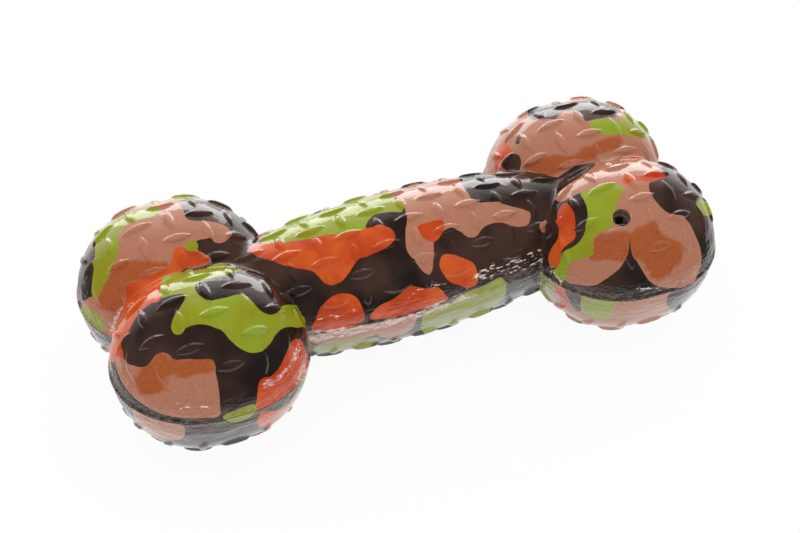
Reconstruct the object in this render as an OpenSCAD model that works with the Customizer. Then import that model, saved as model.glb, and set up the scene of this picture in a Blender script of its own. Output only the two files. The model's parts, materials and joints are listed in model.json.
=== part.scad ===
// Bone-shaped rubber chew toy: two moulded half shells with raised oval treads, and a reed squeaker
// pressed into a socket behind the air hole. The origin is the bone's centre, X runs along the bone,
// and the parting plane of the two half shells is Z = 0.

/* [Bone] */
// Length over the bare rubber of both ends
bone_length = 150; // [130:1:180]
// Radius of each of the four lobes
lobe_radius = 19.7; // [18.5:0.1:21]
// Straight stretch inside each lobe, along the bone
lobe_reach = 5.7; // [2:0.1:10]
// Distance between the two lobe centres of one end
lobe_spread = 26.8; // [25:0.2:30]
// Fillet in the valley between the two lobes of one end
valley_fillet = 3; // [2:0.25:4]
// Radius of the shaft at its middle
shaft_radius = 17.4; // [16:0.1:18.5]
// Radius of the bow that narrows the shaft towards the lobes
shaft_bow = 182; // [160:1:260]
// Thickness of the rubber wall
wall = 4.5; // [3.5:0.1:5.5]

/* [Parting bead] */
// Height of the bead along the parting plane, both halves together
bead_height = 1.4; // [0.8:0.1:2]
// How far the bead stands out of the rubber
bead_proud = 0.35; // [0.2:0.05:0.6]

/* [Treads] */
// Height of a tread above the rubber
tread_height = 0.85; // [0.5:0.05:1.2]
// Width of a tread
tread_width = 2.8; // [2:0.1:3.6]
// Length of the treads that lie along the shaft, and of those on the lobes
tread_long = 8; // [6:0.1:8.6]
// Length of the treads that lie across the shaft
tread_across = 6; // [4:0.1:6.4]
// Distance between neighbouring treads along the bone
tread_pitch = 7.5; // [7:0.1:10]
// Angle of the shaft's lowest row of treads over the parting plane
tread_first = 26; // [20:1:32]
// Angle between neighbouring rows of treads round the shaft
tread_step = 17.1; // [16.5:0.1:18]
// Distance between neighbouring rows of treads round a lobe
tread_row = 6.2; // [6:0.1:9]
// Angle from the top of a lobe down to its lowest tread, at most
tread_spread = 60; // [40:1:64]
// Bare rubber between the middle of a tread and the next lobe or the shaft
tread_margin = 1.5; // [1:0.1:4]

/* [Air hole] */
// Direction of the air hole on its lobe, from +X towards +Y
mouth_turn = 247; // [235:1:260]
// Height of the air hole over the parting plane, as an angle
mouth_rise = 60; // [50:1:66]
// Diameter of the air hole in the rubber
mouth_diameter = 4.2; // [3:0.1:5]
// Depth of rubber between the outside and the squeaker's front
mouth_depth = 3.2; // [2.5:0.1:4]

/* [Squeaker] */
// Outside diameter of the squeaker's case
case_diameter = 12.4; // [11:0.1:13.4]
// Length of the case
case_length = 11; // [10:0.1:12]
// Wall of the case
case_wall = 1.1; // [0.9:0.05:1.3]
// Thickness of the case's front
case_front = 1.2; // [0.8:0.1:1.6]
// Thickness of the rim that holds the case in its socket
rim_thickness = 1.6; // [1.2:0.1:2]
// How far the rim stands out of the case
rim_proud = 1.1; // [0.8:0.1:1.4]
// Rubber wall of the socket
socket_wall = 2; // [1.5:0.1:2.6]
// Thickness of the cap that closes the case
cap_thickness = 1.4; // [1:0.1:1.6]
// Diameter of each sound hole in the cap
sound_hole = 1.6; // [1:0.1:1.8]

/* [Reed] */
// Thickness of the reed
reed_thickness = 0.2; // [0.15:0.05:0.3]
// Width of the reed
reed_width = 5; // [4.6:0.1:5.4]
// Length of the wedge that holds the reed's root
wedge_length = 3; // [2.6:0.1:3.4]
// Free space beyond each end of the reed
reed_end_gap = 0.3; // [0.2:0.05:0.6]
// Clearance on each side of the reed where it is held
reed_play = 0.12; // [0.1:0.01:0.15]
// Width of the air channel under the reed
channel_width = 1.8; // [1.4:0.1:2]
// Depth of the air channel
channel_depth = 1.6; // [1:0.1:2]
// Diameter of the two pegs through the reed's root
peg_diameter = 0.8; // [0.6:0.05:0.9]
// Angle by which the block's face falls away under the reed
lay_angle = 4; // [3.5:0.5:6]

/* [Hidden] */
$fn = 72;

rubber_green = [0.56, 0.62, 0.14];
rubber_brown = [0.66, 0.42, 0.33];
case_charcoal = [0.30, 0.25, 0.24];
block_grey = [0.36, 0.34, 0.33];
reed_amber = [0.85, 0.80, 0.62];

// Clearances and overruns
fit = 0.05;
overrun = 1;
tangency = 0.08;
bow_facets = 360;

// Places worked out from the sizes above
lobe_x = bone_length / 2 - lobe_radius - lobe_reach / 2;
lobe_y = lobe_spread / 2;
socket_diameter = case_diameter + 2 * fit;
chamber_diameter = case_diameter - 2 * case_wall;
rim_diameter = case_diameter + 2 * rim_proud;
rim_depth = mouth_depth + case_length - rim_thickness;
cap_diameter = chamber_diameter + case_wall;
cap_depth = mouth_depth + case_length - cap_thickness;
front_depth = mouth_depth + case_front;
block_length = cap_depth - front_depth;
block_radius = chamber_diameter / 2 - fit;
front_bore = mouth_diameter - 2 * fit - case_wall / 2;
slot_half = reed_thickness / 2 + reed_play;
reed_length = block_length - 2 * reed_end_gap;
pivot_depth = front_depth + wedge_length / 2;
peg_y = (reed_width + channel_width) / 4;

// Treads: a pointed oval, its shoulders and its plateau as shares of its length and width
shoulder_share = 0.45;
shoulder_width_share = 0.85;
foot_share = 1.1;
plateau_length_share = 0.8;
plateau_width_share = 0.7;
tread_root = 1.2;

// Rows of treads round the shaft's upper half, and columns on each side of a lobe's middle
shaft_rows = 8;
lobe_columns = 3;
// The tread beside the air hole: how far it lies from its lobe's middle along the bone, and its angle
hole_tread_along = -9.9;
hole_tread_turn = 53;

// Radius of the shaft at x, for a shaft of this radius in the middle
function shaft_at(x, radius) = radius - shaft_bow + sqrt(shaft_bow * shaft_bow - x * x);

// How far a point lies outside a bare lobe, or outside the bare shaft
function lobe_gap(p, sx, sy) =
    norm([max(abs(p.x - sx * lobe_x) - lobe_reach / 2, 0), p.y - sy * lobe_y, p.z]) - lobe_radius;
function lobes_gap(p) = min([for (sx = [-1, 1], sy = [-1, 1]) lobe_gap(p, sx, sy)]);
function other_lobes_gap(p, mx, my) =
    min([for (sx = [-1, 1], sy = [-1, 1]) sx == mx && sy == my ? lobe_radius : lobe_gap(p, sx, sy)]);
function shaft_gap(p) =
    abs(p.x) > lobe_x ? lobe_radius : norm([p.y, p.z]) - shaft_at(p.x, shaft_radius);

// Direction from turn and rise angles, and the point of a lobe's surface in that direction
function direction(turn, rise) = [cos(rise) * cos(turn), cos(rise) * sin(turn), sin(rise)];
function lobe_point(sx, sy, u) =
    [sx * lobe_x + sign(u.x) * lobe_reach / 2, sy * lobe_y, 0] + lobe_radius * u;

mouth_point = lobe_point(1, -1, direction(mouth_turn, mouth_rise));

// Angle by which a lobe bends towards its end at a distance along it from its middle
function lobe_bend(along) = sign(along) * max(abs(along) - lobe_reach / 2, 0) / lobe_radius * 180 / PI;

// Point of a lobe's surface, from the distance along the lobe and the angle round it
function lobe_place(sx, sy, along, turn) =
    [sx * lobe_x + sign(along) * min(abs(along), lobe_reach / 2), sy * lobe_y, 0]
    + lobe_radius * [
        sin(lobe_bend(along)),
        -cos(lobe_bend(along)) * cos(turn),
        cos(lobe_bend(along)) * sin(turn)
    ];

hole_tread_point = lobe_place(1, -1, hole_tread_along, hole_tread_turn);

// Moves its children to the air hole, with +Z out of the rubber
module at_mouth() {
    translate(mouth_point)
        rotate([0, 0, mouth_turn])
            rotate([0, 90 - mouth_rise, 0])
                children();
}

// A round rod from one depth to another, along the air hole's axis
module rod(diameter, from, to) {
    translate([0, 0, -to])
        cylinder(d = diameter, h = to - from);
}

// Half outline of two lobes side by side and the valley between them, with Y along the spread
module pair_profile(radius) {
    reach = radius + valley_fillet;
    centre = sqrt(reach * reach - lobe_y * lobe_y);
    web = centre * radius / reach;
    lift = lobe_y * valley_fillet / reach;
    intersection() {
        union() {
            for (side = [-1, 1])
                translate([0, side * lobe_y])
                    circle(r = radius);
            difference() {
                translate([0, -lift])
                    square([web, 2 * lift]);
                translate([centre - tangency, 0])
                    circle(r = valley_fillet);
            }
        }
        translate([0, -lobe_y - 2 * radius])
            square([2 * radius, 2 * lobe_y + 4 * radius]);
    }
}

// Upper half of the two lobes of the +X end: the outline turned at both sides of a straight stretch
module lobe_pair(radius) {
    translate([lobe_x, 0, 0]) {
        for (side = [0, 1])
            mirror([side, 0, 0])
                translate([lobe_reach / 2, 0, 0])
                    rotate([-90, 0, 0])
                        mirror([0, 1, 0])
                            rotate_extrude(angle = 90)
                                pair_profile(radius);
        translate([lobe_reach / 2, 0, 0])
            rotate([0, -90, 0])
                linear_extrude(height = lobe_reach)
                    pair_profile(radius);
    }
}

// Outline of the bowed shaft, with Y along the bone
module shaft_profile(radius) {
    intersection() {
        translate([radius - shaft_bow, 0])
            circle(r = shaft_bow, $fn = bow_facets);
        translate([0, -lobe_x])
            square([2 * radius, 2 * lobe_x]);
    }
}

// Upper half of the shaft
module half_shaft(radius) {
    rotate([0, -90, 0])
        rotate([0, 0, -90])
            rotate_extrude(angle = 180)
                shaft_profile(radius);
}

// Upper half of the bone, drawn in from the bare outside by inset
module half_bone(inset) {
    for (side = [0, 1])
        mirror([side, 0, 0])
            lobe_pair(lobe_radius - inset);
    half_shaft(shaft_radius - inset);
}

// Outline of the bone in the parting plane, grown by proud
module plan(proud) {
    for (side = [0, 1])
        mirror([side, 0]) {
            translate([lobe_x + lobe_reach / 2, 0])
                pair_profile(lobe_radius + proud);
            translate([lobe_x - lobe_reach / 2, 0])
                mirror([1, 0])
                    pair_profile(lobe_radius + proud);
            translate([lobe_x - lobe_reach / 2, -lobe_y - lobe_radius - proud])
                square([lobe_reach, 2 * (lobe_y + lobe_radius + proud)]);
        }
    intersection() {
        for (side = [0, 1])
            mirror([0, side])
                shaft_side(proud);
        square([2 * lobe_x, 2 * shaft_bow], center = true);
    }
}

// The part of the shaft's outline on the +Y side
module shaft_side(proud) {
    intersection() {
        translate([0, shaft_radius - shaft_bow])
            circle(r = shaft_bow + proud, $fn = bow_facets);
        translate([-lobe_x, 0])
            square([2 * lobe_x, shaft_bow]);
    }
}

// Upper half of the bead that runs round the bone at the parting plane
module half_bead() {
    linear_extrude(height = bead_height / 2)
        difference() {
            plan(bead_proud);
            plan(-wall / 2);
        }
}

// A raised tread along X on rubber of the given radius: steep sides, pointed ends, arched plateau
module tread(length, bed_radius) {
    end = length / 2;
    shoulder = end * shoulder_share;
    side = tread_width / 2 * shoulder_width_share;
    outline = [[-end, 0], [-shoulder, -side], [shoulder, -side], [end, 0], [shoulder, side], [-shoulder, side]];
    foot = [for (p = outline) [p.x * foot_share, p.y * foot_share, -tread_root]];
    plateau = [for (p = outline) [
        p.x * plateau_length_share,
        p.y * plateau_width_share,
        tread_height - p.x * p.x / (2 * bed_radius)
    ]];
    sides = [for (i = [0:5]) [i, 6 + i, 6 + (i + 1) % 6, (i + 1) % 6]];
    polyhedron(
        points = concat(foot, plateau),
        faces = concat([[0, 1, 2, 3, 4, 5]], sides, [[6, 11, 7], [11, 10, 8, 7], [10, 9, 8]])
    );
}

// Treads on the shaft's upper half, by turns across and along it, like the squares of a chessboard
module shaft_treads() {
    columns = floor(lobe_x / tread_pitch);
    for (i = [-columns:columns], j = [0:shaft_rows - 1]) {
        x = i * tread_pitch;
        turn = tread_first + j * tread_step;
        radius = shaft_at(x, shaft_radius);
        p = [x, -radius * cos(turn), radius * sin(turn)];
        if (lobes_gap(p) > tread_margin)
            translate(p)
                rotate([90 - turn, 0, 0])
                    if ((i + j) % 2 == 0)
                        rotate([0, 0, 90])
                            tread(tread_across, shaft_radius);
                    else
                        tread(tread_long, shaft_bow);
    }
}

// Turns its children to stand on a lobe, with their X along the lobe
module on_lobe(sx, sy, along, turn) {
    translate(lobe_place(sx, sy, along, turn))
        rotate([90 - turn, 0, 0])
            rotate([0, lobe_bend(along), 0])
                children();
}

// Whether a point of a lobe lies far enough from the air hole and from the tread beside it
function clear_of_hole(p) =
    norm(p - mouth_point) > (tread_long + mouth_diameter) / 2 && norm(p - hole_tread_point) > tread_long * 3 / 4;

// Treads on the upper half of one lobe, in columns round it, by turns across and along it
module lobe_treads(sx, sy) {
    for (k = [-lobe_columns:lobe_columns]) {
        along = k * tread_pitch;
        step = tread_row / (lobe_radius * cos(lobe_bend(along))) * 180 / PI;
        rows = floor(tread_spread / step);
        for (j = [-rows:rows]) {
            p = lobe_place(sx, sy, along, 90 + j * step);
            if (min(other_lobes_gap(p, sx, sy), shaft_gap(p)) > tread_margin && clear_of_hole(p))
                on_lobe(sx, sy, along, 90 + j * step)
                    rotate([0, 0, (k + j) % 2 == 0 ? 90 : 0])
                        tread(tread_long, lobe_radius);
        }
    }
}

module half_treads() {
    shaft_treads();
    for (sx = [-1, 1], sy = [-1, 1])
        lobe_treads(sx, sy);
    on_lobe(1, -1, hole_tread_along, hole_tread_turn)
        tread(tread_long, lobe_radius);
}

// Upper half shell with its bead, without treads
module half_shell() {
    difference() {
        union() {
            half_bone(0);
            half_bead();
        }
        half_bone(wall);
    }
}

module upper_shell() {
    color(rubber_green) {
        difference() {
            union() {
                half_shell();
                at_mouth()
                    rod(socket_diameter + 2 * socket_wall, mouth_depth, rim_depth);
            }
            at_mouth() {
                rod(socket_diameter, mouth_depth, rim_depth + overrun);
                rod(mouth_diameter, -tread_height - overrun, mouth_depth + overrun);
            }
        }
        half_treads();
    }
}

module lower_shell() {
    color(rubber_brown)
        rotate([180, 0, 0]) {
            half_shell();
            half_treads();
        }
}

module squeaker_case() {
    color(case_charcoal)
        at_mouth()
            difference() {
                union() {
                    rod(case_diameter, mouth_depth, mouth_depth + case_length);
                    rod(rim_diameter, rim_depth, mouth_depth + case_length);
                }
                rod(chamber_diameter, front_depth, mouth_depth + case_length + overrun);
                rod(cap_diameter, cap_depth, mouth_depth + case_length + overrun);
                rod(front_bore, mouth_depth - overrun, front_depth + overrun);
            }
}

// The cap's sound holes lie over the open side of the reed
module squeaker_cap() {
    color(case_charcoal)
        at_mouth()
            difference() {
                rod(cap_diameter - 2 * fit, cap_depth, cap_depth + cap_thickness);
                for (turn = [-55, 0, 55])
                    rotate([0, 0, turn])
                        translate([block_radius * 5 / 8, 0, 0])
                            rod(sound_hole, cap_depth - overrun, cap_depth + cap_thickness + overrun);
            }
}

// Half of a round rod, on the -X side of the reed (side = -1) or on its +X side (side = 1)
module half_rod(side, from, to) {
    intersection() {
        rod(2 * block_radius, from, to);
        translate([side > 0 ? slot_half : -slot_half - block_radius, -block_radius, -to])
            cube([block_radius, 2 * block_radius, to - from]);
    }
}

// The two pegs that hold the reed's root
module pegs(diameter, from, to) {
    for (side = [-1, 1])
        translate([from, side * peg_y, -pivot_depth])
            rotate([0, 90, 0])
                cylinder(d = diameter, h = to - from);
}

peg_reach = slot_half + channel_depth;

module reed_block() {
    color(block_grey)
        at_mouth()
            difference() {
                half_rod(-1, front_depth, cap_depth);
                translate([-slot_half - channel_depth, -channel_width / 2, -front_depth - reed_length])
                    cube([channel_depth + overrun, channel_width, reed_length + overrun]);
                translate([-slot_half, -block_radius, -front_depth - wedge_length])
                    rotate([0, lay_angle, 0])
                        translate([0, 0, -block_length])
                            cube([block_radius, 2 * block_radius, block_length]);
                pegs(peg_diameter + 2 * fit, -peg_reach - fit, 0);
            }
}

module reed_wedge() {
    color(block_grey)
        at_mouth() {
            half_rod(1, front_depth, front_depth + wedge_length);
            pegs(peg_diameter, -peg_reach, slot_half + peg_diameter);
        }
}

module reed() {
    color(reed_amber)
        at_mouth()
            difference() {
                translate([-reed_thickness / 2, -reed_width / 2, -front_depth - reed_end_gap - reed_length])
                    cube([reed_thickness, reed_width, reed_length]);
                pegs(peg_diameter + 4 * fit, -reed_thickness, reed_thickness);
            }
}

upper_shell();
lower_shell();
squeaker_case();
squeaker_cap();
reed_block();
reed_wedge();
reed();
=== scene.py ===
"""The bone-shaped rubber chew toy as it looks: two glossy printed half shells with raised treads,
lying on a white ground, and the squeaker behind the air hole. Shapes are worked out in millimetres
and turned into metres where a mesh is made."""

import json
import math
from collections import namedtuple

import bmesh
import bpy
import numpy as np
from mathutils import Matrix, Vector


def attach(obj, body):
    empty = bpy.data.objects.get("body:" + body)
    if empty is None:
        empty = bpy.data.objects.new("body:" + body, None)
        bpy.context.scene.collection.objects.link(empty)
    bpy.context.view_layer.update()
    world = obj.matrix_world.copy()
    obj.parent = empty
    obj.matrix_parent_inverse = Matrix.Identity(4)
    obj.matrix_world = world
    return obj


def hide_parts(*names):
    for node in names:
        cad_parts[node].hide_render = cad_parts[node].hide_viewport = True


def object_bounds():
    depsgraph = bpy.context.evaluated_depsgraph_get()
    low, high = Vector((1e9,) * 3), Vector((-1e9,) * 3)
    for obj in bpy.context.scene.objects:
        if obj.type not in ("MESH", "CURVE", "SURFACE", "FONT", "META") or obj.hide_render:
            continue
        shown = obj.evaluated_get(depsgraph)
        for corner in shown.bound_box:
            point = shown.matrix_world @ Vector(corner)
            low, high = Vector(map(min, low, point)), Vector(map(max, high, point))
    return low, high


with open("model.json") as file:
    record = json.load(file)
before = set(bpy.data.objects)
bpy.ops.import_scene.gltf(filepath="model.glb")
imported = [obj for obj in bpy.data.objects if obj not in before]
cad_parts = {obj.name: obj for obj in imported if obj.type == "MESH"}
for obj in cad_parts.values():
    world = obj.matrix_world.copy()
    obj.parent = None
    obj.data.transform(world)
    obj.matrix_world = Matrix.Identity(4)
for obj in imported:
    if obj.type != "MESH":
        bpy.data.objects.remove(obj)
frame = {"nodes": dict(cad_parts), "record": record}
cad_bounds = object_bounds()

MM = 0.001

# The least number that anything is divided by
LEAST = 1e-9

# Bare rubber: the same sizes as the frame's solids
BONE_LENGTH = 150
LOBE_RADIUS = 19.7
LOBE_REACH = 5.7
LOBE_SPREAD = 26.8
SHAFT_RADIUS = 17.4
SHAFT_BOW = 182
LOBE_X = BONE_LENGTH / 2 - LOBE_RADIUS - LOBE_REACH / 2
LOBE_Y = LOBE_SPREAD / 2
VALLEY_BLEND = 2.6
CREASE_BLEND = 1.1

# Parting bead, and the fine groove where the two halves meet, which fades out on the shaft
BEAD_HEIGHT = 1.4
BEAD_PROUD = 0.33
BEAD_SIDE = 0.3
GROOVE_DEPTH = 0.1
GROOVE_HALF = 0.22
GROOVE_START = 34
GROOVE_FADE = 8

# Treads: their own sizes. The arch is the share of its height that a tread loses at its ends, and low is
# the share of the full height that the treads across the bone have
TREAD_HEIGHT = 0.74
TREAD_LONG = 8
TREAD_HALF_LENGTH = TREAD_LONG / 2
TREAD_HALF_ACROSS = 3.1
TREAD_HALF_WIDTH = 1.3
TREAD_SIDE = 0.72
TREAD_ARCH = 0.45
TREAD_LOW = 0.7

# Treads: how they are set out on the shaft, on the lobes and beside the air hole. Angles are in degrees
TREAD_PITCH = 7.5
TREAD_FIRST = 26
TREAD_STEP = 17.1
SHAFT_ROWS = 8
TREAD_ROW = 6.2
TREAD_SPREAD = 60
LOBE_COLUMNS = 3
TREAD_MARGIN = 1.5
HOLE_TREAD_ALONG = -9.9
HOLE_TREAD_TURN = 53

# Air hole, taken from the record's mount
MOUTH = next(m for m in frame["record"]["mounts"] if m["name"] == "air_hole")
MOUTH_POINT = np.array(MOUTH["pos_m"]) / MM
MOUTH_AXIS = np.array(MOUTH["axis"])
MOUTH_RADIUS = MOUTH["dims"]["r_mm"]
MOUTH_DEPTH = MOUTH["dims"]["length_mm"]
MOUTH_LIP = 0.15
MOUTH_LIP_RINGS = 5
MOUTH_SIDES = 72

# Oval of white ground: half lengths in metres, its share of plain white round the toy, and the shares of
# the way to its edge between which its shadow fades out
FLOOR_HALF_X = 0.16
FLOOR_HALF_Y = 0.1
FLOOR_SIDES = 96
FLOOR_WHITE = 0.945
FADE_START = 0.45
FADE_END = 0.95

# Mesh: size of a grid cell, reach of the finer mesh round treads and bead, rounds of evening out, and the
# angle in degrees from which an edge stays sharp
GRID_STEP = 0.64
TREAD_REFINE = 0.7
BEAD_REFINE = 0.45
EVEN_ROUNDS = 6
SHARP_ANGLE = 60


def smooth(share):
    """0 up to 0, 1 from 1, and an S-curve between."""
    share = np.clip(share, 0, 1)
    return share * share * (3 - 2 * share)


def unit(vectors):
    return vectors / np.linalg.norm(vectors, axis=-1, keepdims=True)


def towards(turn, tilt):
    """The unit direction at a turn from +X towards +Y and a tilt up from level, both in degrees."""
    turn, tilt = math.radians(turn), math.radians(tilt)
    return np.array([math.cos(tilt) * math.cos(turn), math.cos(tilt) * math.sin(turn), math.sin(tilt)])


# Bare rubber


def shaft_at(x):
    """Radius of the bare shaft at x."""
    return SHAFT_RADIUS - SHAFT_BOW + np.sqrt(SHAFT_BOW**2 - x * x)


def lobe_gap(p, side):
    """How far points lie outside the nearer end's lobe on this side of the bone."""
    along = np.maximum(np.abs(np.abs(p[:, 0]) - LOBE_X) - LOBE_REACH / 2, 0)
    return np.sqrt(along**2 + (p[:, 1] - side * LOBE_Y) ** 2 + p[:, 2] ** 2) - LOBE_RADIUS


def shaft_gap(p):
    """How far points lie outside the bare shaft, which ends inside the lobes."""
    return np.maximum(np.hypot(p[:, 1], p[:, 2]) - shaft_at(p[:, 0]), np.abs(p[:, 0]) - LOBE_X)


def blended(a, b, width):
    """The smaller of two gaps, with the crease between them filled over this width."""
    near = np.maximum(width - np.abs(a - b), 0)
    return np.minimum(a, b) - near * near / (4 * width)


def bare_gap(p):
    """How far points lie outside the bare bone."""
    lobes = blended(lobe_gap(p, -1), lobe_gap(p, 1), VALLEY_BLEND)
    return blended(lobes, shaft_gap(p), CREASE_BLEND)


def outward(p):
    """Unit normals of the bare bone at these points."""
    probe = 0.02
    steps = []
    for axis in np.eye(3) * probe:
        steps.append(bare_gap(p + axis) - bare_gap(p - axis))
    return unit(np.stack(steps, 1))


def onto_rubber(p):
    """Moves points onto the bare bone, in two steps."""
    for _ in range(2):
        p = p - bare_gap(p)[:, None] * outward(p)
    return p


# Treads. A tread's directions lie along it and across it, and its height is a share of the full height

Tread = namedtuple("Tread", "middle along across half_length height_share")


def other_gap(p, sy):
    """How far a point of a lobe on this side lies from the lobe beside it and from the shaft."""
    shaft = shaft_gap(p[None])[0] if abs(p[0]) < LOBE_X else LOBE_RADIUS
    return min(lobe_gap(p[None], -sy)[0], shaft)


def shaft_treads():
    """Treads of the shaft's upper half, by turns across and along it."""
    treads = []
    columns = int(LOBE_X // TREAD_PITCH)
    for i in range(-columns, columns + 1):
        for j in range(SHAFT_ROWS):
            x = i * TREAD_PITCH
            turn = math.radians(TREAD_FIRST + j * TREAD_STEP)
            out = np.array([0, -math.cos(turn), math.sin(turn)])
            p = np.array([x, 0, 0]) + shaft_at(x) * out
            if min(lobe_gap(p[None], -1)[0], lobe_gap(p[None], 1)[0]) <= TREAD_MARGIN:
                continue
            bone_way = np.array([1.0, 0, 0])
            round_way = np.cross(out, bone_way)
            if (i + j) % 2 == 0:
                treads.append(Tread(p, round_way, bone_way, TREAD_HALF_ACROSS, TREAD_LOW))
            else:
                treads.append(Tread(p, bone_way, round_way, TREAD_HALF_LENGTH, 1))
    return treads


def lobe_bend(along):
    """Angle by which a lobe bends towards its end, at a distance along it from its middle."""
    return math.copysign(max(abs(along) - LOBE_REACH / 2, 0) / LOBE_RADIUS, along)


def lobe_tread(sx, sy, along, turn, lies_along):
    """A tread of a lobe, from its distance along the lobe and its angle round it."""
    bend, turn = lobe_bend(along), math.radians(turn)
    ring, lift = -math.cos(turn), math.sin(turn)
    out = np.array([math.sin(bend), math.cos(bend) * ring, math.cos(bend) * lift])
    bone_way = np.array([math.cos(bend), -math.sin(bend) * ring, -math.sin(bend) * lift])
    round_way = np.cross(out, bone_way)
    shift = math.copysign(min(abs(along), LOBE_REACH / 2), along)
    p = np.array([sx * LOBE_X + shift, sy * LOBE_Y, 0]) + LOBE_RADIUS * out
    if lies_along:
        return Tread(p, bone_way, round_way, TREAD_HALF_LENGTH, 1)
    return Tread(p, round_way, bone_way, TREAD_HALF_LENGTH, TREAD_LOW)


HOLE_TREAD = lobe_tread(1, -1, HOLE_TREAD_ALONG, HOLE_TREAD_TURN, True)


def clear_of_hole(p):
    """Whether a point lies far enough from the air hole and from the tread beside it."""
    if np.linalg.norm(p - MOUTH_POINT) <= TREAD_HALF_LENGTH + MOUTH_RADIUS:
        return False
    return np.linalg.norm(p - HOLE_TREAD.middle) > TREAD_LONG * 3 / 4


def lobe_treads(sx, sy):
    """Treads of one lobe's upper half, in columns round it, by turns across and along it."""
    treads = []
    for k in range(-LOBE_COLUMNS, LOBE_COLUMNS + 1):
        along = k * TREAD_PITCH
        step = math.degrees(TREAD_ROW / (LOBE_RADIUS * math.cos(lobe_bend(along))))
        rows = int(TREAD_SPREAD // step)
        for j in range(-rows, rows + 1):
            tread = lobe_tread(sx, sy, along, 90 + j * step, (k + j) % 2 == 1)
            if other_gap(tread.middle, sy) > TREAD_MARGIN and clear_of_hole(tread.middle):
                treads.append(tread)
    return treads


def inside_tread(p, tread):
    """How far points lie inside a tread's outline, and their share of its half length."""
    share = (p - tread.middle) @ tread.along / tread.half_length
    slope = 2 * TREAD_HALF_WIDTH * share / tread.half_length
    inside = TREAD_HALF_WIDTH * (1 - share * share) - np.abs((p - tread.middle) @ tread.across)
    return inside / np.sqrt(1 + slope * slope), share


def near(p, treads):
    """Gives each tread with the points that lie near it."""
    reach = TREAD_LONG * 3 / 4
    order = np.argsort(p[:, 0])
    sorted_x = p[order, 0]
    for tread in treads:
        middle = tread.middle
        first, last = np.searchsorted(sorted_x, (middle[0] - reach, middle[0] + reach))
        here = order[first:last]
        yield tread, here[np.abs(p[here, 1:] - middle[1:]).max(1) < reach]


def rise(p, treads):
    """How far the finished rubber stands out of the bare bone at these points."""
    height = np.zeros(len(p))
    for tread, here in near(p, treads):
        inside, share = inside_tread(p[here], tread)
        arch = TREAD_HEIGHT * tread.height_share * (1 - TREAD_ARCH * share * share)
        height[here] = np.maximum(height[here], arch * smooth(inside / TREAD_SIDE))
    bead = BEAD_PROUD * smooth((BEAD_HEIGHT / 2 - np.abs(p[:, 2])) / BEAD_SIDE)
    groove = GROOVE_DEPTH * smooth(1 - np.abs(p[:, 2]) / GROOVE_HALF)
    groove *= smooth((np.abs(p[:, 0]) - GROOVE_START) / GROOVE_FADE)
    return np.maximum(height, bead) - groove


def detail_distance(p, treads):
    """Distance of points from the nearest tread side, bead side or air hole."""
    distance = np.abs(np.abs(p[:, 2]) - BEAD_HEIGHT / 4)
    for tread, here in near(p, treads):
        inside, _ = inside_tread(p[here], tread)
        distance[here] = np.minimum(distance[here], np.abs(inside - TREAD_SIDE / 2))
    mouth = np.abs(np.linalg.norm(p - MOUTH_POINT, axis=1) - MOUTH_RADIUS - MOUTH_LIP)
    return np.minimum(distance, mouth)


# Mesh of the bone's upper half


def level_net(step):
    """Points and quads of the bare bone above the parting plane, one point to each grid cell it crosses."""
    half = np.array([BONE_LENGTH / 2, LOBE_Y + LOBE_RADIUS, LOBE_RADIUS])
    reach = np.ceil(half / step) * step + 2 * step
    low = np.array([-reach[0], -reach[1], -step / 2])
    spans = np.array([2 * reach[0], 2 * reach[1], reach[2] + step])
    nodes = (np.round(spans / step).astype(int) + 1).tolist()
    axes = [low[i] + step * np.arange(nodes[i]) for i in range(3)]
    grid = np.stack(np.meshgrid(*axes, indexing="ij"), -1)
    field = bare_gap(grid.reshape(-1, 3)).reshape(nodes)
    cells = np.array(nodes) - 1
    total = np.zeros((cells.prod(), 3))
    hits = np.zeros(cells.prod())
    quads = []
    for axis in range(3):
        first = field.take(np.arange(nodes[axis] - 1), axis)
        second = field.take(np.arange(1, nodes[axis]), axis)
        places = np.argwhere((first < 0) != (second < 0))
        a, b = first[tuple(places.T)], second[tuple(places.T)]
        points = places.astype(float)
        points[:, axis] += a / (a - b)
        u, v = (axis + 1) % 3, (axis + 2) % 3
        corners, valid = [], np.ones(len(places), bool)
        for du, dv in ((1, 1), (0, 1), (0, 0), (1, 0)):
            cell = places.copy()
            cell[:, u] -= du
            cell[:, v] -= dv
            fits = ((cell >= 0) & (cell < cells)).all(1)
            index = np.ravel_multi_index(np.clip(cell, 0, cells - 1).T, cells)
            for i in range(3):
                total[:, i] += np.bincount(index[fits], points[fits, i], len(total))
            hits += np.bincount(index[fits], minlength=len(total))
            corners.append(index)
            valid &= fits
        quad = np.stack(corners, 1)
        quad[a > 0] = quad[a > 0][:, ::-1]
        quads.append(quad[valid])
    quads = np.concatenate(quads)
    used, quads = np.unique(quads, return_inverse=True)
    points = low + step * total[used] / hits[used, None]
    return points, quads.reshape(-1, 4)


def relaxed(points, quads):
    """Evens out the net. Points of the parting plane stay in it."""
    rim = np.abs(points[:, 2]) < GRID_STEP / 4
    points[rim, 2] = 0
    a = quads.ravel()
    b = np.roll(quads, -1, 1).ravel()
    ends = np.concatenate([np.stack([a, b], 1), np.stack([b, a], 1)])
    ends = ends[~rim[ends[:, 0]] | rim[ends[:, 1]]]
    weight = np.maximum(np.bincount(ends[:, 0], minlength=len(points)), 1)
    for _ in range(EVEN_ROUNDS):
        total = np.stack([np.bincount(ends[:, 0], points[ends[:, 1], i], len(points)) for i in range(3)], 1)
        points = onto_rubber((points + total / weight[:, None]) / 2)
        points[rim, 2] = 0
    return points


def vertices_of(mesh):
    co = np.empty(len(mesh.vertices) * 3)
    mesh.vertices.foreach_get("co", co)
    return co.reshape(-1, 3)


def set_vertices(mesh, points):
    mesh.vertices.foreach_set("co", np.ascontiguousarray(points, float).ravel())
    mesh.update()


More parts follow.
